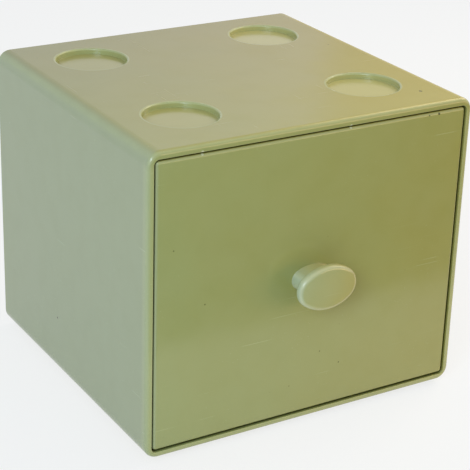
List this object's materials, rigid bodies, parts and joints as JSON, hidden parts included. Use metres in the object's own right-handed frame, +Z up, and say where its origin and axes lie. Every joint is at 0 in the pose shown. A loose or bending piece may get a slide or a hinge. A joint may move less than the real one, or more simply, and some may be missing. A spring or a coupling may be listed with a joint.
{
  "type": "stackable drawer box",
  "caption": "Rounded plastic box with a flush sliding drawer, an oval knob, and round sockets on top that take the feet of another box.",
  "frame": {"origin": "middle of the footprint of the closed box, knob included, on the surface it stands on", "axes": "+X to the right across the front, +Y from the front to the back, +Z up"},
  "size_m": [0.17, 0.1738, 0.15],
  "materials": {
    "case_plastic": "gloss, injection moulded, pale sage green",
    "drawer_plastic": "gloss, injection moulded, pale sage green",
    "knob_plastic": "gloss, injection moulded, pale sage green",
    "plated_steel": "zinc plated"
  },
  "bodies": {
    "case": {"case_shell": "case_plastic", "back_panel": "case_plastic", "foot_front_left": "case_plastic", "foot_front_right": "case_plastic", "foot_back_left": "case_plastic", "foot_back_right": "case_plastic"},
    "drawer": {"drawer_tray": "drawer_plastic", "drawer_front": "drawer_plastic", "knob": "knob_plastic", "knob_screw": "plated_steel", "knob_washer": "plated_steel"}
  },
  "joints": [
    {"name": "drawer_slide", "type": "slide", "parent": "case", "child": "drawer", "axis": [0, -1, 0], "range_m": [0, 0.13]}
  ]
}
